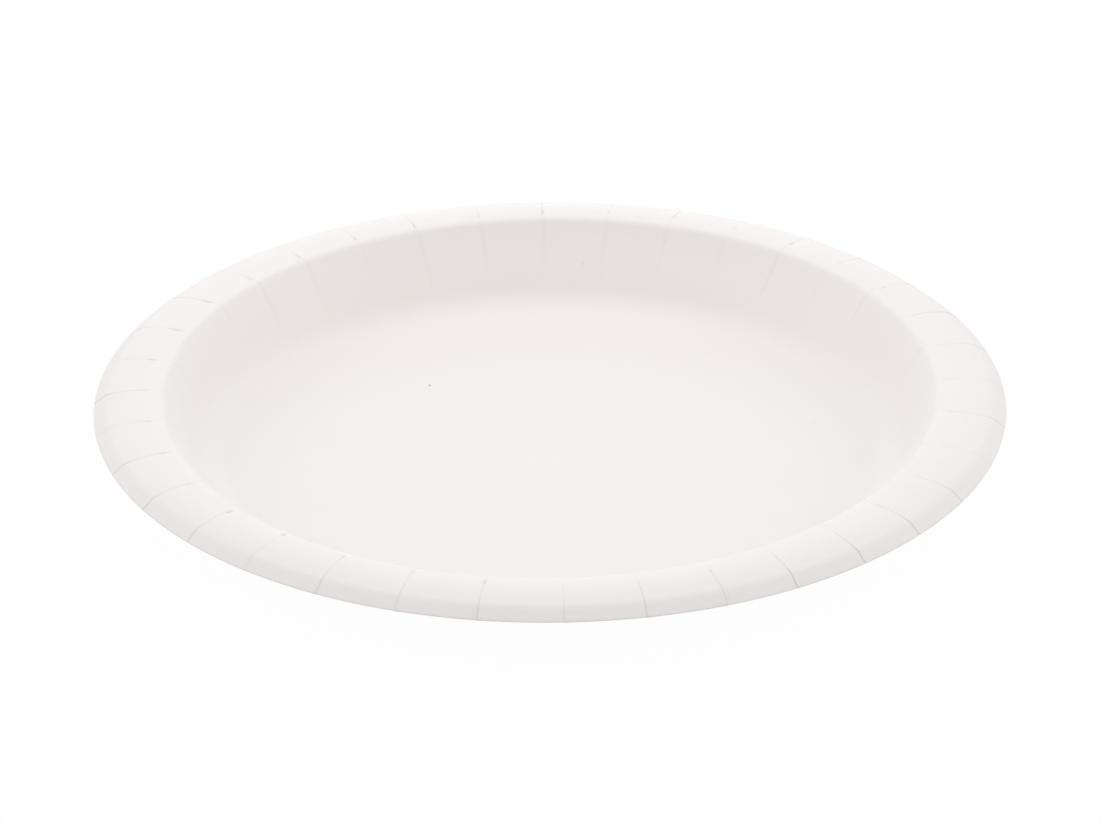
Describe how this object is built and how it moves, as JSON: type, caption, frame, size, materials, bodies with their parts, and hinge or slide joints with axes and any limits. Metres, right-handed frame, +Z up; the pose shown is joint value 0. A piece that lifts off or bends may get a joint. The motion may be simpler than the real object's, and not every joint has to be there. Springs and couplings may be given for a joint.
{
  "type": "paper plate",
  "caption": "Round disposable plate of white paper board, pressed with a flat floor, a sloping wall and a pleated, rolled rim.",
  "frame": {"origin": "centre of the underside of the floor, on the surface the plate stands on", "axes": "+Z up through the centre of the plate, out of the hollow; one pleat lies on +X"},
  "size_m": [0.23, 0.23, 0.0184],
  "materials": {
    "white_board": "matte, faintly calendered white paper board"
  },
  "bodies": {
    "root": {"plate": "white_board"}
  },
  "joints": []
}
